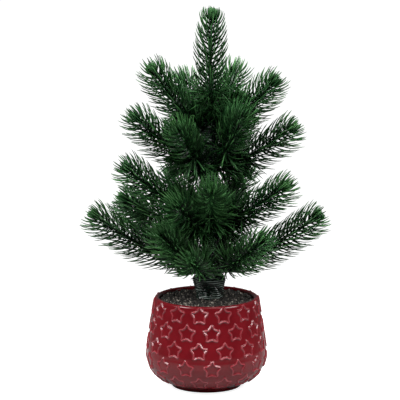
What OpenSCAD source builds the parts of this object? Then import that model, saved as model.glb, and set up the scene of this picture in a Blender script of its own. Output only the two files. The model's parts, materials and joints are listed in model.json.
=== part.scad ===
// Artificial tabletop spruce in a glazed pot. Moulded sprigs sit on bendable wire stems,
// which leave a tape-wound trunk that stands in a ballasted, soil-topped pot.
// Origin at the centre of the pot's foot, on the table. +Z is up and -Y is the front.

/* [Pot] */
// Height of the pot to the top of its lip
pot_h = 95.3; // [92:0.1:97]
// Largest outer radius, at the belly
belly_r = 63; // [61:0.5:65]
// Height of the widest circle of the belly
belly_z = 35; // [33:0.5:37]
// How much the side leans in above the belly, per mm of height
side_lean = 0.165; // [0.12:0.005:0.19]
// Thickness of the wall
wall = 5.6; // [5:0.1:6]
// Outer radius of the foot ring
foot_r = 36.5; // [34:0.5:38]
// Width of the foot ring's flat face
foot_w = 6; // [4:0.5:8]
// Depth of the recess inside the foot ring
foot_recess = 2; // [1:0.1:2.5]
// Thickness of the floor above that recess
floor_t = 7; // [6:0.5:9]

/* [Filling] */
// Height of the soil's surface at the wall of the pot
soil_z = 92.4; // [90:0.1:93.2]
// How much higher the soil is heaped in the middle
soil_heap = 2; // [1:0.2:4]
// Thickness of the soil bed at the wall of the pot
soil_t = 9; // [7:0.5:11]
// Height of the top of the cement ballast
ballast_z = 42; // [38:1:48]
// Gap between the fillings and what they sit in
fill_gap = 0.1; // [0.05:0.05:0.2]

/* [Trunk] */
// Distance of the trunk's axis from the pot's axis, along X
trunk_x = 3; // [0:0.5:4]
// Radius of the steel rod inside the trunk
core_r = 1.5; // [1.2:0.1:1.8]
// Radius of the taped trunk between the tiers
trunk_r = 7.2; // [6.8:0.1:7.6]
// Radius of the root collar where it enters the soil
collar_low_r = 13.2; // [12:0.2:14]
// Largest radius of the root collar, where the bottom stems flare out
collar_r = 17; // [16:0.5:18]

/* [Branches] */
// Radius of a coated wire stem
stem_r = 1.3; // [1.1:0.1:1.4]
// Radius of the barrel that a stem's root turns on, inside the tape
barrel_r = 1.9; // [1.7:0.1:2]
// Width of that barrel
barrel_w = 3.2; // [2.6:0.1:3.4]
// Length of stem that stands clear of the needles
stem_free = 12; // [10:0.5:14]
// Length of stem inside the sprig's rib
stem_grip = 10; // [8:0.5:12]
// Largest radius of the solid that stands for a sprig's needles
sprig_r = 8; // [6:0.5:8]
// Travel of a stem up and down from rest, in degrees
bend = 12; // [6:1:12]

/* [Hidden] */
$fn = 48;
FIT = 0.05;            // clearance of a stem in its sprig
POCKET_GAP = 0.35;     // clearance all round a stem's barrel in the tape
TAPE_OVER_ROOT = 0.6;  // depth of a stem's root under the surface of the tape
flare = 1.6;           // how far the tape flares out under the roots of a tier
NEEDLES_PAST_RIB = 14; // how far the needles reach past the tip of a sprig's rib

floor_z = foot_recess + floor_t;
lip_r = wall / 2;
belly_core = 27;       // radius at which the belly's curve meets the underside
soft_turn = 8;         // how gently the belly turns into the leaning side

collar_z1 = 131;
lower_z1 = 186;
middle_z1 = 240;
upper_z1 = 281;

// Root radius of the stems in each tier, from the trunk's axis
BOTTOM_R = 12;
MIDDLE_R = 9;
UPPER_R = 8;
TOP_R = 8;

// One row for each branch:
// name, root radius, root height, azimuth, elevation, length from root to tip of rib.
// Azimuth is 0 at the front and 90 on the right; elevation is measured from level.
BOTTOM = [
    ["bottom_front", BOTTOM_R, 122, -16, 24, 54],
    ["bottom_front_right", BOTTOM_R, 122, 38, 32, 84],
    ["bottom_right", BOTTOM_R, 124, 82, 31, 111],
    ["bottom_back_right", BOTTOM_R, 124, 163, 42, 80],
    ["bottom_back_left", BOTTOM_R, 124, -124, 31, 106],
    ["bottom_left", BOTTOM_R, 124, -86, 29, 117],
    ["bottom_front_left", BOTTOM_R, 122, -42, 40, 79],
];
MIDDLE = [
    ["middle_front", MIDDLE_R, 172, 2, 42, 70],
    ["middle_right", MIDDLE_R, 172, 62, 32, 88],
    ["middle_back_right", MIDDLE_R, 172, 148, 40, 70],
    ["middle_back_left", MIDDLE_R, 168, -143, 40, 70],
    ["middle_left", MIDDLE_R, 163, -100, 23, 83],
    ["middle_front_left", MIDDLE_R, 178, -60, 36, 103],
    ["middle_inner_left", MIDDLE_R, 168, -27, 31, 72],
];
UPPER = [
    ["upper_front_right", UPPER_R, 230, 40, 56, 76],
    ["upper_right", UPPER_R, 228, 84, 32, 86],
    ["upper_back_right", UPPER_R, 232, 153, 38, 72],
    ["upper_back_left", UPPER_R, 230, -152, 26, 70],
    ["upper_left", UPPER_R, 230, -62, 39, 94],
    ["upper_front", UPPER_R, 228, -30, 45, 74],
];
TOP = [
    ["top_right", TOP_R, 266, 72, 45, 80],
    ["top_rear_right", TOP_R, 266, 115, 58, 40],
    ["top_back_right", TOP_R, 270, 156, 45, 76],
    ["top_back_left", TOP_R, 270, -153, 42, 68],
    ["top_left", TOP_R, 268, -65, 52, 85],
];
LEADER = ["leader", 0, 278, 90, 89, 108];
BRANCHES = concat(BOTTOM, MIDDLE, UPPER, TOP, [LEADER]);

// ---- Pot and filling ----

// Outer radius of the pot at a height: an ellipse below the belly, a leaning side above
function outer_r(z) =
    z < belly_z
    ? belly_core + (belly_r - belly_core)
        * sqrt(max(0, 1 - pow((belly_z - z) / (belly_z - foot_recess), 2)))
    : belly_r - side_lean * pow(z - belly_z, 2) / (z - belly_z + soft_turn);

// Inner radius of the pot at a height
function inner_r(z) =
    z < belly_z
    ? belly_core + (belly_r - wall - belly_core)
        * sqrt(max(0, 1 - pow((belly_z - z) / (belly_z - floor_z), 2)))
    : outer_r(z) - wall;

// Heights of the profile's points, closer together where the belly turns
function steps(a, b, n) = [for (i = [0:n]) a + (b - a) * i / n];
function belly_steps(low) = [for (i = [1:9]) low + (belly_z - low) * (1 - cos(10 * i))];

module pot() {
    lip_z = pot_h - lip_r;
    lip_c = outer_r(lip_z) - lip_r;
    foot_top = foot_recess + 1.2;
    outside = concat(
        [[foot_r - 0.6, 0], [foot_r, 0.6], [foot_r, foot_top]],
        [for (z = belly_steps(foot_top + 0.2)) [outer_r(z), z]],
        [for (z = steps(belly_z + 6, lip_z, 6)) [outer_r(z), z]],
        [for (a = [22.5:22.5:157.5]) [lip_c + lip_r * cos(a), lip_z + lip_r * sin(a)]]
    );
    inside = concat(
        [for (z = steps(lip_z, belly_z + 6, 6)) [inner_r(z), z]],
        [for (i = [9:-1:1]) let (z = floor_z + (belly_z - floor_z) * (1 - cos(10 * i)))
            [inner_r(z), z]],
        [[0, floor_z], [0, foot_recess], [foot_r - foot_w - 1, foot_recess],
         [foot_r - foot_w, 0]]
    );
    color("#7a121b") rotate_extrude($fn = 120) polygon(concat(outside, inside));
}

// A solid that fills the pot between two heights
module filling(low, high) {
    heights = low < belly_z
        ? concat([for (z = belly_steps(low)) z], [high])
        : steps(low, high, 3);
    rotate_extrude($fn = 120)
        polygon(concat(
            [[0, low]],
            [for (z = heights) [inner_r(z) - fill_gap, z]],
            [[0, high]]
        ));
}

module ballast() {
    color("#8d8a84") difference() {
        filling(floor_z, ballast_z);
        translate([trunk_x, 0, floor_z + 5]) cylinder(h = ballast_z, r = core_r + FIT);
    }
}

module foam_plug() {
    color("#c9bd9c") difference() {
        filling(ballast_z, soil_z - soil_t);
        translate([trunk_x, 0, 0]) cylinder(h = pot_h, r = core_r + fill_gap);
    }
}

// The heap of soil on top of the bed, from the wall up to the middle
module heap() {
    edge_r = inner_r(soil_z) - fill_gap;
    rotate_extrude($fn = 120)
        polygon(concat(
            [[0, soil_z - 1], [edge_r, soil_z - 1]],
            [for (t = [1:-0.125:0]) [edge_r * t, soil_z + soil_heap * (1 - t * t)]]
        ));
}

module soil_bed() {
    color("#1c1613") difference() {
        union() {
            filling(soil_z - soil_t, soil_z);
            heap();
        }
        translate([trunk_x, 0, 0])
            cylinder(h = soil_z + soil_heap + 1, r = collar_low_r + fill_gap);
    }
}

// ---- Trunk ----

module trunk_core() {
    color("#7f8387") translate([trunk_x, 0, floor_z + 5])
        cylinder(h = LEADER[2] - floor_z - 11, r = core_r);
}

// Places a branch's own axis, which runs along +Z from the root of its stem
module at_root(b) {
    translate([trunk_x, 0, b[2]])
        rotate([0, 0, b[3] - 90])
            translate([b[1], 0, 0])
                rotate([0, 90 - b[4], 0]) children();
}

// A round bar along the axis that a stem bends about
module barrel(r, w) {
    rotate([90, 0, 0]) cylinder(h = w, r = r, center = true);
}

// The exit hole of a stem: a pocket for its barrel, and a cone that lets the stem swing
module exit_hole(b) {
    pocket_r = barrel_r + POCKET_GAP;
    reach = 14;
    at_root(b) {
        barrel(pocket_r, barrel_w + 2 * POCKET_GAP);
        cylinder(h = reach, r1 = pocket_r - 0.2, r2 = stem_r + reach * tan(bend + 3));
    }
}

// A length of the tape-wound trunk, with the exit holes of its branches
module wrap(profile, tier) {
    color("#12402a") difference() {
        translate([trunk_x, 0, 0]) rotate_extrude($fn = 72) polygon(concat(
            [[core_r + FIT, profile[0][1]]], profile,
            [[core_r + FIT, profile[len(profile) - 1][1]]]
        ));
        for (b = tier) exit_hole(b);
    }
}

// Outline of a length of trunk: it flares under a tier's roots and narrows again above them
function tier_profile(z0, z1, tier) =
    let (heights = [for (b = tier) b[2]], low = min(heights), high = max(heights),
         root_r = tier[0][1] + TAPE_OVER_ROOT) [
        [trunk_r, z0], [trunk_r, low - 13], [root_r + flare, low - 5.5],
        [root_r + flare, low - 4], [root_r, low - 3], [root_r, high + 4],
        [trunk_r, z1]
    ];

module root_collar() {
    root_r = BOTTOM_R + TAPE_OVER_ROOT;
    wrap([
        [collar_low_r, soil_z - soil_t], [collar_low_r, soil_z + soil_heap + 0.6],
        [collar_r - 0.6, 112], [collar_r, 114], [collar_r - 1, 116.5],
        [root_r, 118.5], [root_r, 127.5], [trunk_r, collar_z1]
    ], BOTTOM);
}

module lower_wrap() {
    wrap(tier_profile(collar_z1, lower_z1, MIDDLE), MIDDLE);
}

module upper_wrap() {
    low_part = tier_profile(lower_z1, middle_z1, UPPER);
    high_part = tier_profile(middle_z1, upper_z1 - 2, TOP);
    profile = concat(
        low_part,
        [for (i = [1:len(high_part) - 1]) high_part[i]],
        [[TOP_R - 3, upper_z1]]
    );
    wrap(profile, concat(UPPER, TOP, [LEADER]));
}

// ---- Branches ----

// A wire stem: the barrel at its root, and the length that the sprig is pushed onto
module stem(b) {
    color("#103a24") at_root(b) {
        barrel(barrel_r, barrel_w);
        cylinder(h = stem_free + stem_grip, r = stem_r);
    }
}

// Radius of a sprig's solid, from 0 at its base to 1 at its tip
function sprig_radius(t) =
    t < 0.4 ? stem_r + 1.2 + (sprig_r - stem_r - 1.2) * sin(225 * t)
    : sprig_r * sqrt(max(0, 1 - pow((t - 0.4) / 0.6, 3)));

// A moulded sprig, as the closed solid that its needles fill
module sprig(b) {
    length = b[5] + NEEDLES_PAST_RIB - stem_free;
    color("#1f5c38") at_root(b) translate([0, 0, stem_free]) difference() {
        rotate_extrude($fn = 48) polygon(concat(
            [[0, 0]], [for (t = [0:0.1:1]) [sprig_radius(t), t * length]]
        ));
        translate([0, 0, -1]) cylinder(h = stem_grip + 1.5, r = stem_r + FIT);
    }
}

pot();
ballast();
foam_plug();
soil_bed();
trunk_core();
root_collar();
lower_wrap();
upper_wrap();
for (b = BRANCHES) {
    stem(b);
    sprig(b);
}
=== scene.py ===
"""Looks of an artificial tabletop spruce: glazed pot, soil, taped trunk, moulded sprigs."""
import json
import math

import bpy
import numpy as np
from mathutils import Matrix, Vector


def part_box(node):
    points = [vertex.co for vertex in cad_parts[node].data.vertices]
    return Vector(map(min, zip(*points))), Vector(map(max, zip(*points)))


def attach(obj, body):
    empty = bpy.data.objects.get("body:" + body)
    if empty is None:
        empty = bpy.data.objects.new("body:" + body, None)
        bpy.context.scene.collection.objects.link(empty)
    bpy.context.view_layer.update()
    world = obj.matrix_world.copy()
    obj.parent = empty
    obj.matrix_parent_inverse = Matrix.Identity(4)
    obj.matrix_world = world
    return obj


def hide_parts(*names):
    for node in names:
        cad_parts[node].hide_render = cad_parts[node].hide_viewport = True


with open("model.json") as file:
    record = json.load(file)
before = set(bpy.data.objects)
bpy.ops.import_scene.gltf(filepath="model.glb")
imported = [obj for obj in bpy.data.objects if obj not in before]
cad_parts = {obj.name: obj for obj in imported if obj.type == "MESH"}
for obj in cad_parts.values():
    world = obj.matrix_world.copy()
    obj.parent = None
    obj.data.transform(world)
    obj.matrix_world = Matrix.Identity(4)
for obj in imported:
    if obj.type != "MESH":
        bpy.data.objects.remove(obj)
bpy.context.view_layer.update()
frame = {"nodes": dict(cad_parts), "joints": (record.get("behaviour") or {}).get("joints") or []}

MM = 0.001
FIXED = "pot_and_trunk"
rng = np.random.default_rng(16)


# ---- Meshes ----

def unit(v):
    """Vectors at length 1, along the last axis."""
    return v / np.maximum(np.linalg.norm(v, axis=-1, keepdims=True), 1e-12)


def grid_faces(rows, cols, closed=True):
    """Quads between the rows of a grid of points, numbered row by row."""
    last = cols if closed else cols - 1
    r, c = np.meshgrid(np.arange(rows - 1), np.arange(last), indexing="ij")
    a = r * cols + c
    b = r * cols + (c + 1) % cols
    return np.stack([a, b, b + cols, a + cols], axis=-1).reshape(-1, 4)


class Shells:
    """Collects the closed shells of one piece, with a tint (red, green, blue) at each point."""

    def __init__(self):
        self.points, self.tints, self.faces, self.count = [], [], [], 0

    def add(self, points, faces, tint):
        points = np.asarray(points, float).reshape(-1, 3)
        self.points.append(points)
        self.tints.append(np.broadcast_to(np.asarray(tint, float), points.shape))
        self.faces += [tuple(f) for f in (np.asarray(g) + self.count for g in faces)]
        self.count += len(points)

    def piece(self, name, material, body, replaced, sharp=None):
        mesh = bpy.data.meshes.new(name)
        mesh.from_pydata(np.concatenate(self.points).tolist(), [], self.faces)
        mesh.shade_smooth()
        if sharp is not None:
            mesh.set_sharp_from_angle(angle=math.radians(sharp))
        tints = np.concatenate(self.tints)
        colours = np.concatenate([tints, np.ones((len(tints), 1))], axis=1)
        layer = mesh.color_attributes.new("tint", "FLOAT_COLOR", "POINT")
        layer.data.foreach_set("color", colours.astype(np.float32).ravel())
        mesh.materials.append(material)
        made = bpy.data.objects.new(name, mesh)
        bpy.context.scene.collection.objects.link(made)
        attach(made, body)
        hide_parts(*replaced)
        return made


def ring_frames(tangents):
    """Two directions across a line at each of its points, without twist."""
    start = (0.0, 0.0, 1.0) if abs(tangents[0][2]) < 0.9 else (0.0, -1.0, 0.0)
    across = [unit(np.cross(np.cross(tangents[0], start), tangents[0]))]
    for t in tangents[1:]:
        across.append(unit(across[-1] - t * (across[-1] @ t)))
    across = np.array(across)
    return across, np.cross(tangents, across)


def tube(shells, line, radii, sides, tint):
    """A closed tube round a line of points."""
    tangents = unit(np.gradient(line, axis=0))
    u, v = ring_frames(tangents)
    angles = np.linspace(0, 2 * np.pi, sides, endpoint=False)
    ring = u[:, None] * np.cos(angles)[:, None] + v[:, None] * np.sin(angles)[:, None]
    points = line[:, None] + ring * np.asarray(radii)[:, None, None]
    caps = [np.arange(sides)[::-1], np.arange(sides) + (len(line) - 1) * sides]
    shells.add(points, list(grid_faces(len(line), sides)) + caps, tint)


def lathe(outline, sides, centre):
    """Points and faces of an outline of (radius, height) that starts and ends on the axis."""
    angles = np.linspace(0, 2 * np.pi, sides, endpoint=False)
    turn = np.stack([np.cos(angles), np.sin(angles)], axis=-1)
    body = outline[1:-1]
    points = np.empty((len(body), sides, 3))
    points[..., :2] = centre + body[:, None, :1] * turn
    points[..., 2] = body[:, None, 1]
    poles = [[*centre, outline[0][1]], [*centre, outline[-1][1]]]
    first, last = len(body) * sides, len(body) * sides + 1
    faces = list(grid_faces(len(body), sides))
    for i in range(sides):
        j = (i + 1) % sides
        faces.append((first, j, i))
        faces.append((last, (len(body) - 1) * sides + i, (len(body) - 1) * sides + j))
    return np.concatenate([points.reshape(-1, 3), poles]), faces


def smooth_line(points, step):
    """A natural cubic spline through points, with a point about every step."""
    points = np.asarray(points, float)
    knots = np.concatenate([[0], np.cumsum(np.linalg.norm(np.diff(points, axis=0), axis=1))])
    gap = np.diff(knots)[:, None]
    slope = np.diff(points, axis=0) / gap
    bend = np.zeros_like(points)
    inner = len(points) - 2
    grid = np.zeros((inner, inner))
    for i in range(inner):
        grid[i, i] = 2 * (gap[i, 0] + gap[i + 1, 0])
        if i:
            grid[i, i - 1] = grid[i - 1, i] = gap[i, 0]
    bend[1:-1] = np.linalg.solve(grid, 6 * np.diff(slope, axis=0))
    at = np.linspace(0, knots[-1], int(round(knots[-1] / step)) + 1)
    k = np.clip(np.searchsorted(knots, at, side="right") - 1, 0, len(knots) - 2)
    gone, left = (at - knots[k])[:, None], (knots[k + 1] - at)[:, None]
    wide = gap[k]
    return (bend[k] * left ** 3 / (6 * wide) + bend[k + 1] * gone ** 3 / (6 * wide)
            + (points[k] / wide - bend[k] * wide / 6) * left
            + (points[k + 1] / wide - bend[k + 1] * wide / 6) * gone)


def ripple(x, y, size, seed, waves=9):
    """Gentle noise from -1 to 1 over two coordinates, with features of about that size."""
    local = np.random.default_rng(seed)
    total = np.zeros(np.broadcast(x, y).shape)
    for _ in range(waves):
        angle, phase = local.uniform(0, 2 * np.pi, 2)
        k = 2 * np.pi / (size * local.uniform(0.7, 1.8))
        total += np.sin(k * (x * np.cos(angle) + y * np.sin(angle)) + phase)
    return total / np.sqrt(waves) / 1.4


# ---- Materials ----

class Nodes:
    """A material with a Principled shader, and short calls that add nodes to it."""

    def __init__(self, name, **constants):
        self.material = bpy.data.materials.new(name)
        self.material.use_nodes = True
        self.tree = self.material.node_tree
        self.shader = self.tree.nodes["Principled BSDF"]
        for socket, value in constants.items():
            self.shader.inputs[socket.replace("_", " ")].default_value = value

    def add(self, kind, inputs=(), **settings):
        made = self.tree.nodes.new(kind)
        for key, value in settings.items():
            setattr(made, key, value)
        for socket, value in dict(inputs).items():
            if isinstance(value, bpy.types.NodeSocket):
                self.tree.links.new(value, made.inputs[socket])
            else:
                made.inputs[socket].default_value = value
        return made

    def noise(self, scale, detail=3.0, roughness=0.55, kind="ShaderNodeTexNoise"):
        where = self.add("ShaderNodeTexCoord").outputs["Object"]
        made = self.add(kind, {"Vector": where, "Scale": scale})
        if kind == "ShaderNodeTexNoise":
            made.inputs["Detail"].default_value = detail
            made.inputs["Roughness"].default_value = roughness
            return made.outputs["Fac"]
        return made.outputs["Distance"]

    def tint(self):
        layer = self.add("ShaderNodeVertexColor", layer_name="tint")
        return self.add("ShaderNodeSeparateColor", {"Color": layer.outputs["Color"]}).outputs

    def ramp(self, value, *stops):
        """Colours at places from 0 to 1 along a value."""
        made = self.add("ShaderNodeValToRGB", {"Fac": value})
        marks = made.color_ramp.elements
        while len(marks) < len(stops):
            marks.new(0.5)
        for mark, (place, colour) in zip(marks, stops):
            mark.position = place
            mark.color = (*colour, 1)
        return made.outputs["Color"]

    def mix(self, factor, a, b, blend="MIX"):
        made = self.add("ShaderNodeMix", data_type="RGBA", blend_type=blend)
        for socket, value in ((0, factor), (6, a), (7, b)):
            if isinstance(value, bpy.types.NodeSocket):
                self.tree.links.new(value, made.inputs[socket])
            else:
                made.inputs[socket].default_value = value
        return made.outputs[2]

    def math(self, operation, a, b):
        return self.add("ShaderNodeMath", {0: a, 1: b}, operation=operation).outputs[0]

    def between(self, value, low, high):
        """A value from 0 to 1, brought to a range."""
        return self.add("ShaderNodeMapRange", {"Value": value, "To Min": low, "To Max": high}
                        ).outputs["Result"]

    def bump(self, height, distance, strength=1.0):
        made = self.add("ShaderNodeBump",
                        {"Height": height, "Distance": distance, "Strength": strength})
        self.set("Normal", made.outputs["Normal"])

    def set(self, socket, value):
        self.tree.links.new(value, self.shader.inputs[socket])


def glaze():
    """Deep red glaze that breaks lighter over the raised outlines."""
    m = Nodes("red_glaze", IOR=1.39)
    pooled = m.ramp(m.noise(55.0), (0.3, (0.120, 0.0052, 0.0085)), (0.7, (0.156, 0.0072, 0.0115)))
    m.set("Base Color", m.mix(m.tint()["Red"], pooled, (0.27, 0.040, 0.050, 1)))
    m.set("Roughness", m.between(m.noise(140.0), 0.07, 0.15))
    m.bump(m.noise(260.0, 2.0), 0.00006)
    return m.material


def needle_plastic():
    """Moulded green polyethylene: dark near the rib and along the edges of each needle, as
    painted shade, and paler towards the tips and along its ridges, as painted light; the tips are
    also yellower."""
    m = Nodes("needle_plastic", IOR=1.45, Specular_IOR_Level=0.34)
    tint = m.tint()
    # Painted shade and light: near-black at a needle's root and on needles near the trunk, pale
    # at the tips of the outer needles.
    root_shade = m.ramp(tint["Green"], (0.0, (0.0008, 0.0080, 0.0018)), (1.0, (0.0035, 0.028, 0.0065)))
    lit_tip = m.ramp(tint["Green"], (0.0, (0.009, 0.062, 0.016)), (1.0, (0.125, 0.330, 0.115)))
    blotch = m.ramp(m.noise(35.0), (0.3, (0.78, 0.82, 0.88)), (0.7, (1.14, 1.10, 0.98)))
    # Painted highlight along each needle's two ridges, painted shade along its two edges.
    ridge_light = m.ramp(tint["Blue"], (0.0, (0.28, 0.32, 0.28)), (1.0, (1.60, 1.55, 1.60)))
    body = m.mix(1.0, m.mix(tint["Red"], root_shade, lit_tip), blotch, "MULTIPLY")
    m.set("Base Color", m.mix(1.0, body, ridge_light, "MULTIPLY"))
    m.set("Roughness", m.between(m.noise(900.0), 0.18, 0.32))
    m.bump(m.noise(1600.0, 2.0), 0.00005)
    return m.material


def tape(name, low, high, roughness, glint_colour=(0, 0, 0)):
    """Glossy floral tape, with fine folds that run round the trunk, darker in their hollows as
    painted shade, and with pale streaks along its turns as painted highlights."""
    m = Nodes(name, IOR=1.6)
    where = m.add("ShaderNodeTexCoord").outputs["Object"]
    drawn = m.add("ShaderNodeMapping", {"Vector": where, "Scale": (90.0, 90.0, 1500.0)})
    folds = m.add("ShaderNodeTexNoise", {"Vector": drawn.outputs["Vector"], "Scale": 1.0,
                                         "Detail": 3.0}).outputs["Fac"]
    # Painted shade: darker where the folds dip, paler on their crests.
    wound = m.ramp(folds, (0.35, low), (0.75, high))
    # Painted highlights: the pale colour where the tint's red is high.
    m.set("Base Color", m.mix(m.tint()["Red"], wound, (*glint_colour, 1)))
    m.set("Roughness", m.between(folds, roughness, roughness + 0.10))
    m.bump(folds, 0.0003)
    return m.material


def soil_grains():
    """Dark granules, with a share of pale ones."""
    m = Nodes("soil_grains", IOR=1.45)
    tint = m.tint()
    colour = m.ramp(tint["Red"], (0.0, (0.007, 0.0072, 0.0064)), (0.55, (0.050, 0.045, 0.040)),
                    (0.86, (0.130, 0.115, 0.100)), (1.0, (0.420, 0.390, 0.330)))
    speck = m.ramp(m.noise(1800.0), (0.35, (0.6, 0.6, 0.6)), (0.7, (1.3, 1.25, 1.2)))
    m.set("Base Color", m.mix(1.0, colour, speck, "MULTIPLY"))
    m.set("Roughness", m.between(m.noise(700.0), 0.55, 0.95))
    m.bump(m.noise(2400.0), 0.0002)
    return m.material


def cement():
    """Grey cast cement."""
    m = Nodes("ballast_cement", IOR=1.5)
    m.set("Base Color", m.ramp(m.noise(160.0, 6.0), (0.3, (0.20, 0.19, 0.18)),
                               (0.7, (0.34, 0.33, 0.31))))
    m.set("Roughness", m.between(m.noise(300.0), 0.8, 1.0))
    m.bump(m.noise(500.0, 6.0), 0.0004)
    return m.material


def foam():
    """Dull yellow foam with small cells."""
    m = Nodes("plug_foam", IOR=1.4)
    cells = m.noise(900.0, kind="ShaderNodeTexVoronoi")
    # Painted shade: darker in each cell's hollow, paler on its walls.
    m.set("Base Color", m.ramp(cells, (0.0, (0.42, 0.36, 0.22)), (0.8, (0.62, 0.56, 0.38))))
    m.set("Roughness", m.between(m.noise(200.0), 0.85, 1.0))
    m.bump(cells, 0.0003)
    return m.material


def steel():
    """Plain drawn steel."""
    m = Nodes("rod_steel", Metallic=1.0)
    m.set("Base Color", m.ramp(m.noise(250.0, 5.0), (0.3, (0.33, 0.34, 0.35)),
                               (0.8, (0.52, 0.52, 0.51))))
    m.set("Roughness", m.between(m.noise(800.0), 0.28, 0.45))
    m.bump(m.noise(2000.0), 0.00003)
    return m.material


GLAZE = glaze()
NEEDLE = needle_plastic()
SOIL = soil_grains()
# Its last colour is the pale painted highlight on the turns of tape.
TAPE = tape("trunk_tape", (0.0006, 0.006, 0.0030), (0.010, 0.040, 0.024), 0.11,
            (0.78, 0.92, 0.84))
STEM = tape("stem_tape", (0.004, 0.020, 0.011), (0.012, 0.050, 0.026), 0.34)

for node, material in (("ballast", cement()), ("foam_plug", foam()), ("trunk_core", steel())):
    frame["nodes"][node].data.materials.clear()
    frame["nodes"][node].data.materials.append(material)


# ---- Places from the frame ----

def axis_of(node):
    """Where a turned CAD node's axis stands, as x and y."""
    low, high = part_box(node)
    return np.array([(low.x + high.x) / 2, (low.y + high.y) / 2])


SAME_EDGE = 0.3 * MM         # edges closer than this are one edge
LEAST_FACING = 0.04          # how much of its normal a face turns to the side that it counts for


def turned_edges(node, axis, facing):
    """(radius, height) of a turned CAD node's edges, on its outside (1) or its inside (-1)."""
    mesh = frame["nodes"][node].data
    found = set()
    for face in mesh.polygons:
        spoke = unit(np.array(face.center)[:2] - axis)
        if facing * (spoke @ np.array(face.normal)[:2]) > LEAST_FACING:
            for i in face.vertices:
                x, y, z = mesh.vertices[i].co
                found.add((round(math.hypot(x - axis[0], y - axis[1]), 5), round(z, 5)))
    edges = []
    for edge in sorted(found, key=lambda edge: edge[1]):
        if not edges or math.dist(edge, edges[-1]) > SAME_EDGE:
            edges.append(edge)
    return edges


POT_AXIS = axis_of("pot")
TRUNK_AXIS = axis_of("trunk_core")
POT_LOW, POT_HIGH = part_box("pot")


# ---- Pot ----

POT_SIDES = 180
POT_ROWS = 0.8 * MM          # between the points of its outline
FOOT_TOP = 3.3 * MM          # an edge below this height belongs to the foot
STARS_PER_ROW = 14
STAR_ROWS = 5
STAR_R = 9.9 * MM            # centre to tip, along the line of the bead
STAR_WAIST = 0.53            # inner corners' radius, as a share of the outer
STAR_ROUND = 2.4 * MM        # how much of each side its rounded corners take
CORNER_POINTS = 5
ROW_LOW = 18.5 * MM          # from the foot to the lowest row, along the wall
ROW_PITCH = 18.7 * MM
ROW_TURN = (-7.5, 5.35)      # degrees from the front to the first star, in odd and even rows
BEAD_HALF = 1.45 * MM
BEAD_HIGH = 1.10 * MM
BEAD_SUNK = 0.5 * MM
BEAD_BEDDED = 0.04 * MM      # how far the bead's edges lie in the wall
BEAD_ACROSS = (-1, -0.68, -0.36, 0, 0.36, 0.68, 1, 1, -1)    # over its top, then its sunk base
CROWN_FADE = 0.8             # how the lighter glaze fades down from the bead's top


def pot_outline():
    """The pot's whole outline from the middle of its underside round to its inner floor,
    and the part of it that is the outer wall."""
    outside = turned_edges("pot", POT_AXIS, 1)
    inside = turned_edges("pot", POT_AXIS, -1)
    foot = [e for e in outside if e[1] < FOOT_TOP]
    wall = [e for e in outside if e[1] >= FOOT_TOP]
    recess = [e for e in inside if e[1] < FOOT_TOP]
    cavity = [e for e in inside if e[1] > 2 * FOOT_TOP][::-1]
    curve = smooth_line(wall + cavity[1:], POT_ROWS)
    top = int(np.argmax(curve[:, 1]))
    middle = [(0.0, recess[-1][1])]
    bottom = recess[::-1] + foot
    return np.array(middle + bottom + curve.tolist() + [(0.0, cavity[-1][1])]), curve[:top]


def star_line():
    """The star's outline in the wall's own plane, with rounded corners."""
    turns = np.pi / 2 + np.arange(10) * np.pi / 5
    radii = np.where(np.arange(10) % 2 == 0, 1.0, STAR_WAIST) * STAR_R
    corners = np.stack([radii * np.cos(turns), radii * np.sin(turns)], axis=-1)
    line = []
    for before, corner, after in zip(np.roll(corners, 1, 0), corners, np.roll(corners, -1, 0)):
        start = corner + unit(before - corner) * STAR_ROUND
        end = corner + unit(after - corner) * STAR_ROUND
        for t in np.linspace(0, 1, CORNER_POINTS):
            line.append((1 - t) ** 2 * start + 2 * t * (1 - t) * corner + t ** 2 * end)
    return np.array(line)


def make_pot():
    outline, wall = pot_outline()
    shells = Shells()
    points, faces = lathe(outline, POT_SIDES, POT_AXIS)
    shells.add(points, faces, (0, 0, 0))

    travel = np.concatenate([[0], np.cumsum(np.linalg.norm(np.diff(wall, axis=0), axis=1))])
    slope = unit(np.gradient(wall, axis=0))
    line = star_line()
    ahead = unit(np.roll(line, -1, 0) - np.roll(line, 1, 0))
    side = np.stack([ahead[:, 1], -ahead[:, 0]], axis=-1)
    across = np.array(BEAD_ACROSS)
    lift = BEAD_HIGH * np.cos(np.pi / 2 * across) ** 2 - BEAD_BEDDED
    lift[-2:] = -BEAD_SUNK
    crown = np.clip(lift / BEAD_HIGH, 0, 1) ** CROWN_FADE
    flat = line[:, None] + side[:, None] * (across * BEAD_HALF)[:, None]
    quads = grid_faces(len(line) + 1, len(across)) % (len(line) * len(across))
    for row in range(STAR_ROWS):
        for k in range(STARS_PER_ROW):
            at = ROW_LOW + row * ROW_PITCH + flat[..., 1]
            radius = np.interp(at, travel, wall[:, 0])
            height = np.interp(at, travel, wall[:, 1])
            out = np.interp(at, travel, slope[:, 1])
            up = -np.interp(at, travel, slope[:, 0])
            turn = math.radians(ROW_TURN[row % 2]) + 2 * np.pi * k / STARS_PER_ROW
            angle = turn + flat[..., 0] / radius
            radius = radius + out * lift
            points = np.stack([POT_AXIS[0] + radius * np.sin(angle),
                               POT_AXIS[1] - radius * np.cos(angle),
                               height + up * lift], axis=-1)
            tint = np.zeros(points.shape)
            tint[..., 0] = crown
            shells.add(points, list(quads), tint.reshape(-1, 3))
    return shells.piece("glazed_pot", GLAZE, FIXED, ["pot"], sharp=50)


make_pot()


# ---- Soil ----

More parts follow.
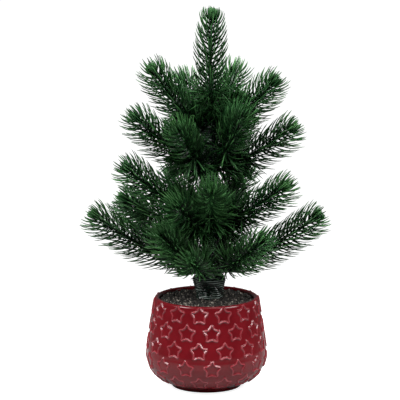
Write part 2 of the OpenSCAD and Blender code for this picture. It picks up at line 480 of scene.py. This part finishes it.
GRAINS = 3600
GRAIN_R = (0.45 * MM, 1.15 * MM)
GRAIN_SIZES = (1, 1, 1, 1.5)     # a quarter of them are coarse
GRAIN_ROUGH = (0.6, 1.25)    # how far each corner of a grain is from its middle
GRAIN_SQUASH = (0.6, 1.2)
GRAIN_SINK = 0.6 * MM
GRAIN_PROUD = 0.35           # how far a grain stands out, as a share of its radius
GRAIN_SHADES = (0.1, 0.4, 0.55, 0.85, 1.0)
GRAIN_SHARES = (0.37, 0.27, 0.18, 0.11, 0.07)
GRAIN_MIDDLE = 0.03          # share of the bed's area round its middle that has none
SOIL_SIDES = 110
SOIL_RINGS = 34
SOIL_GAP = 0.2 * MM          # between the heap and the pot's wall
SOIL_SINK = 0.7 * MM         # how far the ground between the grains lies below them
GROUND_SHADE = 0.15
HEAVE = 0.7 * MM             # how far the heap's surface rises and falls
HEAVE_SIZE = 9 * MM
HEAVE_SEED = 3
HEAVE_FADE = 3 * MM          # it dies out this close to the wall and the underside


def heave(x, y):
    return HEAVE * ripple(x, y, HEAVE_SIZE, HEAVE_SEED)


def grain_form():
    """Points and faces of a regular 20-sided grain of radius 1."""
    g = (1 + math.sqrt(5)) / 2
    points = unit(np.array([
        (-1, g, 0), (1, g, 0), (-1, -g, 0), (1, -g, 0), (0, -1, g), (0, 1, g),
        (0, -1, -g), (0, 1, -g), (g, 0, -1), (g, 0, 1), (-g, 0, -1), (-g, 0, 1)]))
    faces = np.array([
        (0, 11, 5), (0, 5, 1), (0, 1, 7), (0, 7, 10), (0, 10, 11), (1, 5, 9), (5, 11, 4),
        (11, 10, 2), (10, 7, 6), (7, 1, 8), (3, 9, 4), (3, 4, 2), (3, 2, 6), (3, 6, 8),
        (3, 8, 9), (4, 9, 5), (2, 4, 11), (6, 2, 10), (8, 6, 7), (9, 8, 1)])
    return points, faces


def make_soil():
    """A heap of grains: level with the soil bed's edge at the wall, and with its top inside."""
    low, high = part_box("soil_bed")
    edges = turned_edges("soil_bed", POT_AXIS, 1)
    widest = max(r for r, z in edges)
    radius, wall_z = [edge for edge in edges if edge[0] > 0.94 * widest][-1]
    radius -= SOIL_GAP

    def surface(away):
        return high.z - (high.z - wall_z) * (away / radius) ** 2

    shells = Shells()
    reach = np.linspace(radius, 1 * MM, SOIL_RINGS)
    steps = np.stack([reach, surface(reach) - SOIL_SINK], axis=-1)
    outline = np.array([(0, low.z), (radius, low.z), *steps, (0, high.z - SOIL_SINK)])
    points, faces = lathe(outline, SOIL_SIDES, POT_AXIS)
    inner = np.hypot(*(points[:, :2] - POT_AXIS).T)
    rise = heave(points[:, 0], points[:, 1]) * np.clip((radius - inner) / HEAVE_FADE, 0, 1)
    points[:, 2] += np.where(points[:, 2] > low.z + HEAVE_FADE, rise, 0)
    shells.add(points, faces, (GROUND_SHADE, 0, 0))

    form, triangles = grain_form()
    turn = rng.uniform(0, 2 * np.pi, GRAINS)
    away = (radius - 1.0 * MM) * np.sqrt(rng.uniform(GRAIN_MIDDLE, 1, GRAINS))
    size = rng.uniform(*GRAIN_R, GRAINS) * rng.choice(GRAIN_SIZES, GRAINS)
    shade = rng.choice(GRAIN_SHADES, GRAINS, p=GRAIN_SHARES)
    for i in range(GRAINS):
        shape = form * rng.uniform(*GRAIN_ROUGH, (12, 1)) * rng.uniform(*GRAIN_SQUASH, 3)
        spin = np.linalg.qr(rng.normal(size=(3, 3)))[0]
        spin *= np.sign(np.linalg.det(spin))
        x = POT_AXIS[0] + away[i] * np.cos(turn[i])
        y = POT_AXIS[1] + away[i] * np.sin(turn[i])
        z = surface(away[i]) - GRAIN_SINK + heave(x, y) + size[i] * GRAIN_PROUD
        shells.add(np.array([x, y, z]) + shape @ spin * size[i], triangles, (shade[i], 0, 0))
    return shells.piece("soil", SOIL, FIXED, ["soil_bed"], sharp=30)


make_soil()


# ---- Branch lines ----

DROOP = 0.04                 # how far a branch hangs below its chord, as a share of its length


def branches():
    """Each branch's name, root and tip, from its joint and its sprig."""
    found = []
    for joint in frame["joints"]:
        name = joint["child"]
        root = np.array(joint["pos_m"], float)
        mesh = frame["nodes"][name + "_sprig"].data
        points = np.array([v.co for v in mesh.vertices])
        tip = points[np.argmax(np.linalg.norm(points - root, axis=1))]
        found.append((name, root, tip))
    return found


def branch_line(root, tip, start, end, count):
    """Points along a branch between two distances from its root. The branch hangs a little
    below its chord, and its end turns up."""
    length = np.linalg.norm(tip - root)
    chord = (tip - root) / length
    down = np.array([0.0, 0.0, -1.0])
    down = down - chord * (down @ chord)
    at = np.linspace(start, end, count)[:, None]
    part = at / length
    return root + chord * at + down * (DROOP * length * 4 * part * (1 - part))


BRANCHES = branches()


# ---- Trunk ----

TAPE_PITCH = 2.3 * MM
TAPE_STEP = 0.90 * MM        # how far each turn of tape stands out from the one above
TAPE_ROUND = 2.2             # how its edge rounds over
TAPE_ROWS = 0.26 * MM
TRUNK_SIDES = 108
KNUCKLE_OUT = 1.3 * MM       # how far the tape bulges round a stem
KNUCKLE_R = 3.4 * MM
KNUCKLE_FADE = 1.4
KNUCKLE_UP = 0.6 * MM        # how far above the stem's root the bulge sits
KNUCKLE_NEAR = 6 * MM        # a root this far past a length's end still bulges it
SOFTEN = 1.6 * MM            # over how much height the trunk's outline is smoothed
LUMP_FROM = 7.5 * MM         # above this radius the windings are lumpy
LUMP_OVER = 6 * MM
LUMP_HIGH = 0.9 * MM
LUMP_TALL = 7 * MM
LUMPS_ROUND = 7
LUMP_TURN = 1.1
WANDER = 0.25                # how far the turns wander up and down, as a share of their pitch
WRINKLE = 0.10 * MM
SAME_RING = 0.02 * MM        # points closer than this are on one ring
FULL_RING = 24               # a full ring has more points than this
GLINT_FROM, GLINT_RISE = 1.6, 3     # where in each turn the painted highlight on the tape's rounded edge begins
GLINT_LEVEL, GLINT_PATCH_RISE = 0.30, 1.6     # how much of the tape carries that painted highlight, in patches


def wrap_edges(node):
    """(radius, height) of a trunk length's full circles, on its outside."""
    mesh = frame["nodes"][node].data
    co = np.array([v.co for v in mesh.vertices])
    spoke = co[:, :2] - TRUNK_AXIS
    radius = np.hypot(*spoke.T)
    turn = np.degrees(np.arctan2(spoke[:, 1], spoke[:, 0]))
    level = {}
    for r, z, a in zip(radius, co[:, 2], turn):
        key = (round(z / SAME_RING), round(r / SAME_RING))
        level.setdefault(key, []).append((r, z, round(a)))
    rings = [(rows[0][1], rows[0][0]) for rows in level.values()
             if len({a for _, _, a in rows}) > FULL_RING]
    widest = {}
    for z, r in rings:
        key = round(z, 5)
        widest[key] = max(widest.get(key, 0), r)
    return np.array([(r, z) for z, r in sorted(widest.items())])


def make_wrap(node):
    """One length of the trunk: tape wound in overlapping turns, with a bulge round each stem."""
    edges = wrap_edges(node)
    low, high = edges[0][1], edges[-1][1]
    rows = int((high - low) / TAPE_ROWS)
    height = np.linspace(low, high, rows)
    soft = np.linspace(-SOFTEN, SOFTEN, 9)
    radius = np.mean([np.interp(height + s, edges[:, 1], edges[:, 0]) for s in soft], axis=0)
    angle = np.linspace(0, 2 * np.pi, TRUNK_SIDES, endpoint=False)
    z, a = np.meshgrid(height, angle, indexing="ij")
    r = np.broadcast_to(radius[:, None], z.shape).copy()
    swell = np.clip((r - LUMP_FROM) / LUMP_OVER, 0, 1)
    r += (swell * LUMP_HIGH * np.sin(LUMPS_ROUND * a + LUMP_TURN)
          * np.sin((z - low) / LUMP_TALL))
    wander = ripple(np.cos(a) * 9 * MM, z, 14 * MM, 5) * WANDER
    wind = z / TAPE_PITCH - a / (2 * np.pi) + wander
    turned = wind - np.floor(wind)
    r += TAPE_STEP * (0.5 - turned ** TAPE_ROUND)
    r += WRINKLE * ripple(a * 8 * MM, z, 3.1 * MM, 8)
    for _, root, _ in BRANCHES:
        if not low - KNUCKLE_NEAR < root[2] < high + KNUCKLE_NEAR:
            continue
        spoke = root[:2] - TRUNK_AXIS
        reach = np.hypot(*spoke)
        if reach < 1 * MM:
            continue
        turn = (a - math.atan2(spoke[1], spoke[0]) + np.pi) % (2 * np.pi) - np.pi
        away = ((turn * reach) ** 2 + (z - root[2] - KNUCKLE_UP) ** 2) / KNUCKLE_R ** 2
        r += KNUCKLE_OUT * np.exp(-KNUCKLE_FADE * away)
    points = np.stack([TRUNK_AXIS[0] + r * np.cos(a), TRUNK_AXIS[1] + r * np.sin(a), z], axis=-1)
    shells = Shells()
    caps = [np.arange(TRUNK_SIDES)[::-1], np.arange(TRUNK_SIDES) + (rows - 1) * TRUNK_SIDES]
    # Painted highlights: pale patchy streaks along the rounded upper edge of each turn of tape.
    glint_patches = ripple(np.cos(a) * 12 * MM + 0.6 * z, np.sin(a) * 12 * MM + z, 11 * MM, 21)
    tints = np.zeros(points.shape)
    tints[..., 0] = (np.clip(GLINT_RISE * turned - GLINT_FROM, 0, 1)
                     * np.clip(GLINT_LEVEL + GLINT_PATCH_RISE * glint_patches, 0, 1))
    shells.add(points, list(grid_faces(rows, TRUNK_SIDES)) + caps, tints.reshape(-1, 3))
    return shells.piece("taped_" + node, TAPE, FIXED, [node], sharp=60)


for wrap in ("root_collar", "lower_wrap", "upper_wrap"):
    make_wrap(wrap)


# ---- Sprigs ----

STEM_R = 1.4 * MM
STEM_ROOT_R = 2.1 * MM
STEM_LONG = 22 * MM
STEM_FADE = 9                # how soon the stem thins from its root
STEM_WIND = 2.2 * MM         # pitch of the tape on the stem
STEM_RIDGE = 0.10 * MM
RIB_START = 6 * MM           # where the rib's sleeve begins on the stem
RIB_SHORT = 14 * MM          # from the end of the rib to the tips of the last needles
RIB_R = (1.75 * MM, 1.1 * MM)
RIB_ENDS = (1.05, 0.6)       # how the rib's ends narrow: onto the stem, and at its tip
WHORL = 12                   # needles at each step along the rib
WHORL_PITCH = 4.5 * MM
WHORL_SCATTER = 0.09         # radians round the rib
PLACE_SCATTER = 0.45 * MM
END_TAPER = 5 * MM           # how soon the needles shorten and close up before the rib's end
LEADER_TAPER = 14 * MM
LEADER_THIN = 0.90           # its needles' length against the other sprigs'
ROOT_BUSH = 12 * MM          # how soon they close up after the trunk, where they stand out
BARE_TRUNK = (246 * MM, 268 * MM, 24 * MM)      # between these heights, clear this far out
SKIRT = (112 * MM, 0.2, 75 * MM)    # no needle hangs below this height and slope, this far out
LIT_FRONT_SPRIGS = {"bottom_front": 0.7, "bottom_front_left": 0.7, "bottom_front_right": 0.6,
         "middle_front": 0.6}       # how much paler the needles of the front sprigs are painted: painted light on the sprigs that face the lamps
NEAR = (100, (3 * MM, 34 * MM))     # more needles close to the trunk, between these distances
NEAR_BACK = (190, (3 * MM, 48 * MM))    # the same for the back branches, which close the tree
BACK_FROM = 3 * MM           # a branch rooted further back than this is a back one
NEAR_LONG = (0.9, 1.1)
TUFT = 32                    # needles at the very end of the rib
TUFT_SHORT = 1 * MM          # how far the tuft's middle stops before the tip
TUFT_WIDEN = 0.12            # how much longer its outer needles are
# A needle leaves the rib at the first of two angles in degrees, and its end is at the second.
LEAN = np.array([70, 17])
LEAN_END = np.array([-5, -24])      # added towards the rib's end
LEAN_TRUNK = np.array([14, 44])     # added towards the trunk
LEAN_NEAR = ((70, 55), (98, 85))    # from the one pair to the other
LEAN_TUFT = np.array([56, -14])     # at the outside of the tuft
LEAN_SCATTER = 2.6
CURL_SCATTER = 2.0
LONG_SCATTER = 0.05
END_SHORTER = 0.34           # how much shorter the needles get towards the rib's end
ROOTED = 0.5 * MM            # how far from the rib's middle a needle starts
NEEDLE_LONG = 29 * MM
NEEDLE_RINGS = np.array([0, 0.15, 0.32, 0.50, 0.68, 0.85, 0.95, 1.0])     # along a needle
NEEDLE_PLUMP = np.array([0.80, 0.95, 1.0, 1.0, 0.92, 0.72, 0.42, 0.12])   # its width at each
LIT_TIP_FADE = 1.5               # how the painted light at a needle's tip begins along it, after the painted shade at its root
NEEDLE_WIDE = 1.45 * MM
NEEDLE_THICK = 1.15 * MM
NEEDLE_SIDES = 4
SAG = 6                      # degrees that an underside needle leans out, and an upper one in


def needles(shells, roots, ahead, out, long, lean, tint):
    """Closed curved needles. Each leaves its root at the first angle of lean to the rib, in
    the plane of ahead and out, and reaches its end at the second."""
    count, rings = len(roots), len(NEEDLE_RINGS)
    angle = lean[:, :1] + (lean[:, 1:] - lean[:, :1]) * NEEDLE_RINGS
    direction = (np.cos(angle)[..., None] * ahead[:, None]
                 + np.sin(angle)[..., None] * out[:, None])
    middle = unit(direction[:, 1:] + direction[:, :-1])
    hops = middle * (np.diff(NEEDLE_RINGS)[None, :, None] * long[:, None, None])
    line = roots[:, None] + np.concatenate([np.zeros((count, 1, 3)), np.cumsum(hops, 1)], 1)
    flat = unit(np.cross(ahead, out))[:, None] + np.zeros((1, rings, 1))
    face = np.cross(direction, flat)
    around = np.linspace(0, 2 * np.pi, NEEDLE_SIDES, endpoint=False)
    section = (flat[:, :, None] * (NEEDLE_WIDE / 2 * np.cos(around))[:, None]
               + face[:, :, None] * (NEEDLE_THICK / 2 * np.sin(around))[:, None])
    points = line[:, :, None] + section * NEEDLE_PLUMP[None, :, None, None]
    quads = grid_faces(rings, NEEDLE_SIDES)
    caps = np.stack([np.arange(NEEDLE_SIDES)[::-1],
                     np.arange(NEEDLE_SIDES) + (rings - 1) * NEEDLE_SIDES])
    step = rings * NEEDLE_SIDES
    faces = []
    for i in range(count):
        faces += list(quads + i * step) + list(caps + i * step)
    tints = np.empty(points.shape)
    # Red: painted shade at each needle's root and on needles near the trunk, painted light at the
    # tips.
    tints[..., 0] = (NEEDLE_RINGS[None, :, None] ** LIT_TIP_FADE
                     * (0.5 + 0.5 * tint[:, 1, None, None]))
    tints[..., 1] = tint[:, 0, None, None]
    # Blue: painted highlight on the needle's ridges, painted shade on its edges.
    tints[..., 2] = np.abs(np.sin(around))
    shells.add(points, faces, tints.reshape(-1, 3))


def make_stem(name, root, tip):
    """The taped wire that a sprig is moulded on."""
    line = branch_line(root, tip, 0, STEM_LONG, 56)
    along = np.linspace(0, 1, len(line))
    radii = STEM_R + (STEM_ROOT_R - STEM_R) * np.exp(-along * STEM_FADE)
    radii = radii + STEM_RIDGE * np.abs(np.sin(along * STEM_LONG / STEM_WIND * np.pi))
    shells = Shells()
    tube(shells, line, radii, 14, (0, 0, 0))
    return shells.piece(name + "_taped_stem", STEM, name, [name + "_stem"])


def make_sprig(name, root, tip):
    """A rib with needles all round: in whorls along it, in a bush near the trunk and in a
    tuft at its end."""
    leader = name == "leader"
    length = np.linalg.norm(tip - root)
    rib_end = length - RIB_SHORT
    shells = Shells()
    rib = branch_line(root, tip, RIB_START, rib_end, 40)
    radii = np.linspace(*RIB_R, len(rib))
    radii[0] = STEM_R * RIB_ENDS[0]
    radii[-1] *= RIB_ENDS[1]
    tube(shells, rib, radii, 8, (0.1, 0.4, 0.6))

    steps = int((rib_end - RIB_START) / WHORL_PITCH) + 1
    index = np.repeat(np.arange(steps), WHORL)
    turn = (rng.uniform(0, 2 * np.pi) + index * np.pi / WHORL
            + np.tile(np.arange(WHORL), steps) * 2 * np.pi / WHORL
            + rng.normal(0, WHORL_SCATTER, len(index)))
    where = rib_end - index * WHORL_PITCH + rng.normal(0, PLACE_SCATTER, len(index))
    near_end = np.exp((where - rib_end) / (LEADER_TAPER if leader else END_TAPER))
    near_trunk = np.exp(-where / ROOT_BUSH)
    long = NEEDLE_LONG * (1 - END_SHORTER * near_end) * (LEADER_THIN if leader else 1)
    lean = LEAN + near_end[:, None] * LEAN_END + near_trunk[:, None] * LEAN_TRUNK

    extra, near = NEAR_BACK if root[1] > BACK_FROM else NEAR
    turn = np.concatenate([turn, rng.uniform(0, 2 * np.pi, extra)])
    where = np.concatenate([where, rng.uniform(*near, extra)])
    long = np.concatenate([long, rng.uniform(*NEAR_LONG, extra) * NEEDLE_LONG])
    lean = np.concatenate([lean, rng.uniform(*LEAN_NEAR, (extra, 2))])

    spread = np.sqrt(rng.uniform(0, 1, TUFT))
    turn = np.concatenate([turn, rng.uniform(0, 2 * np.pi, TUFT)])
    where = np.concatenate([where, np.full(TUFT, rib_end)])
    long = np.concatenate([long, (RIB_SHORT - TUFT_SHORT) * (1 + TUFT_WIDEN * spread)])
    lean = np.concatenate([lean, spread[:, None] * LEAN_TUFT])

    count = len(turn)
    long = long * rng.normal(1, LONG_SCATTER, count)
    lean = (lean + rng.normal(0, LEAN_SCATTER, (count, 1))
            + rng.normal(0, CURL_SCATTER, (count, 2)))
    fine = branch_line(root, tip, 0, length, 400)
    ahead_fine = unit(np.gradient(fine, axis=0))
    u_fine, v_fine = ring_frames(ahead_fine)
    pick = np.clip((where / length * (len(fine) - 1)).astype(int), 0, len(fine) - 1)
    ahead = ahead_fine[pick]
    out = u_fine[pick] * np.cos(turn)[:, None] + v_fine[pick] * np.sin(turn)[:, None]
    lean = np.radians(lean - SAG * out[:, 2:])
    roots = fine[pick] + out * ROOTED
    # How far along the rib a needle stands: the nearer the trunk, the more painted shade it gets.
    part = np.clip((where - RIB_START) / (rib_end - RIB_START), 0, 1)
    # Each needle's shade is picked at random from dark to pale: painted shade and light, standing
    # in for neighbouring needles in shade and in light.
    tint = np.stack([rng.uniform(0, 1, count), part], axis=-1)
    # The front sprigs are pushed paler: painted light.
    tint[:, 0] = tint[:, 0] ** (1 - LIT_FRONT_SPRIGS.get(name, 0))
    ends = roots + long[:, None] * (np.cos(lean.mean(1))[:, None] * ahead
                                    + np.sin(lean.mean(1))[:, None] * out)
    low, high, clear = BARE_TRUNK
    hem, slope, out_to = SKIRT
    keep = np.ones(count, bool)
    for spot in (roots, (roots + ends) / 2, ends):
        off = np.linalg.norm(spot[:, :2] - TRUNK_AXIS, axis=1)
        keep &= (spot[:, 2] < low) | (spot[:, 2] > high) | (off > clear)
        keep &= (spot[:, 2] > hem + slope * off) | (off > out_to)
    needles(shells, roots[keep], ahead[keep], out[keep], long[keep], lean[keep], tint[keep])
    return shells.piece(name + "_needles", NEEDLE, name, [name + "_sprig"], sharp=40)


for branch in BRANCHES:
    make_stem(*branch)
    make_sprig(*branch)


# ---- Floor, light and camera ----

FLOOR_HALF = 8.0
FLOOR_LOW = -0.0003
FADE = {"From Min": 0.12, "From Max": 0.50}         # distance from the middle, in metres
PAPER = {"To Min": 0.46, "To Max": 0.06}            # how pale the floor is to the light
PAPER_SEEN = {"To Min": 0.88, "To Max": 1.03}       # how bright it is to the camera
SKY_SEEN = 1.3
ROOM = {"From Min": -0.75, "From Max": 0.65, "To Min": 0.01, "To Max": 0.15}    # front to back
MIDDLE = Vector((0, 0, 0.2))
SOFTBOXES = (                # name, azimuth, elevation, distance, size, power
    ("softbox_left", -64, 40, 1.8, 1.0, 43),
    ("softbox_right", 64, 40, 1.8, 1.0, 40),
    ("softbox_top", 0, 84, 1.9, 1.6, 40),
)
LENS = 263.8
SENSOR = 36
CAMERA_AT = (-0.0068, -3.0, 0.765)
CAMERA_DOWN = 10.71          # degrees below level


def make_floor():
    """Pale paper that fades to white away from the pot."""
    mesh = bpy.data.meshes.new("floor")
    turns = ((-1, -1), (1, -1), (1, 1), (-1, 1))
    corners = [(x * FLOOR_HALF, y * FLOOR_HALF, FLOOR_LOW) for x, y in turns]
    mesh.from_pydata(corners, [], [(0, 1, 2, 3)])
    floor = bpy.data.objects.new("floor", mesh)
    bpy.context.scene.collection.objects.link(floor)
    m = Nodes("floor_paper", Roughness=0.9)
    where = m.add("ShaderNodeTexCoord").outputs["Object"]
    away = m.add("ShaderNodeVectorMath", {0: where}, operation="LENGTH").outputs["Value"]
    spread = {"Value": away, **FADE}
    m.set("Base Color", m.add("ShaderNodeMapRange", {**spread, **PAPER}).outputs["Result"])
    glow = m.add("ShaderNodeMapRange", {**spread, **PAPER_SEEN})
    m.shader.inputs["Specular IOR Level"].default_value = 0.0
    m.shader.inputs["Emission Color"].default_value = (1, 1, 1, 1)
    seen = m.add("ShaderNodeLightPath").outputs["Is Camera Ray"]
    m.set("Emission Strength", m.math("MULTIPLY", seen, glow.outputs["Result"]))
    mesh.materials.append(m.material)


def make_world():
    """Dark in front, lighter towards the back, and white to the camera."""
    world = bpy.data.worlds.new("studio")
    bpy.context.scene.world = world
    world.use_nodes = True
    tree = world.node_tree
    tree.nodes.clear()
    out = tree.nodes.new("ShaderNodeOutputWorld")
    mix = tree.nodes.new("ShaderNodeMixShader")
    path = tree.nodes.new("ShaderNodeLightPath")
    seen = tree.nodes.new("ShaderNodeBackground")
    room = tree.nodes.new("ShaderNodeBackground")
    where = tree.nodes.new("ShaderNodeTexCoord")
    split = tree.nodes.new("ShaderNodeSeparateXYZ")
    depth = tree.nodes.new("ShaderNodeMapRange")
    seen.inputs["Strength"].default_value = SKY_SEEN
    for socket, value in ROOM.items():
        depth.inputs[socket].default_value = value
    tree.links.new(where.outputs["Generated"], split.inputs[0])
    tree.links.new(split.outputs["Y"], depth.inputs["Value"])
    tree.links.new(depth.outputs["Result"], room.inputs["Strength"])
    tree.links.new(path.outputs["Is Camera Ray"], mix.inputs[0])
    tree.links.new(room.outputs[0], mix.inputs[1])
    tree.links.new(seen.outputs[0], mix.inputs[2])
    tree.links.new(mix.outputs[0], out.inputs["Surface"])


def softbox(name, azimuth, elevation, distance, size, power):
    """A square light, placed by its direction from the middle. Azimuth 0 is the front."""
    a, e = math.radians(azimuth), math.radians(elevation)
    way = Vector((math.sin(a) * math.cos(e), -math.cos(a) * math.cos(e), math.sin(e)))
    lamp = bpy.data.lights.new(name, "AREA")
    lamp.size = size
    lamp.energy = power
    made = bpy.data.objects.new(name, lamp)
    made.location = MIDDLE + way * distance
    made.rotation_euler = way.to_track_quat("Z", "Y").to_euler()
    made.visible_camera = False
    bpy.context.scene.collection.objects.link(made)


def make_camera():
    """A long lens in front, looking slightly down."""
    lens = bpy.data.cameras.new("camera")
    lens.sensor_width = SENSOR
    lens.lens = LENS
    lens.clip_end = 30
    camera = bpy.data.objects.new("camera", lens)
    camera.location = CAMERA_AT
    camera.rotation_euler = (math.radians(90 - CAMERA_DOWN), 0, 0)
    bpy.context.scene.collection.objects.link(camera)
    bpy.context.scene.camera = camera


make_floor()
make_world()
for box in SOFTBOXES:
    softbox(*box)
make_camera()
bpy.context.scene.view_settings.view_transform = "Standard"
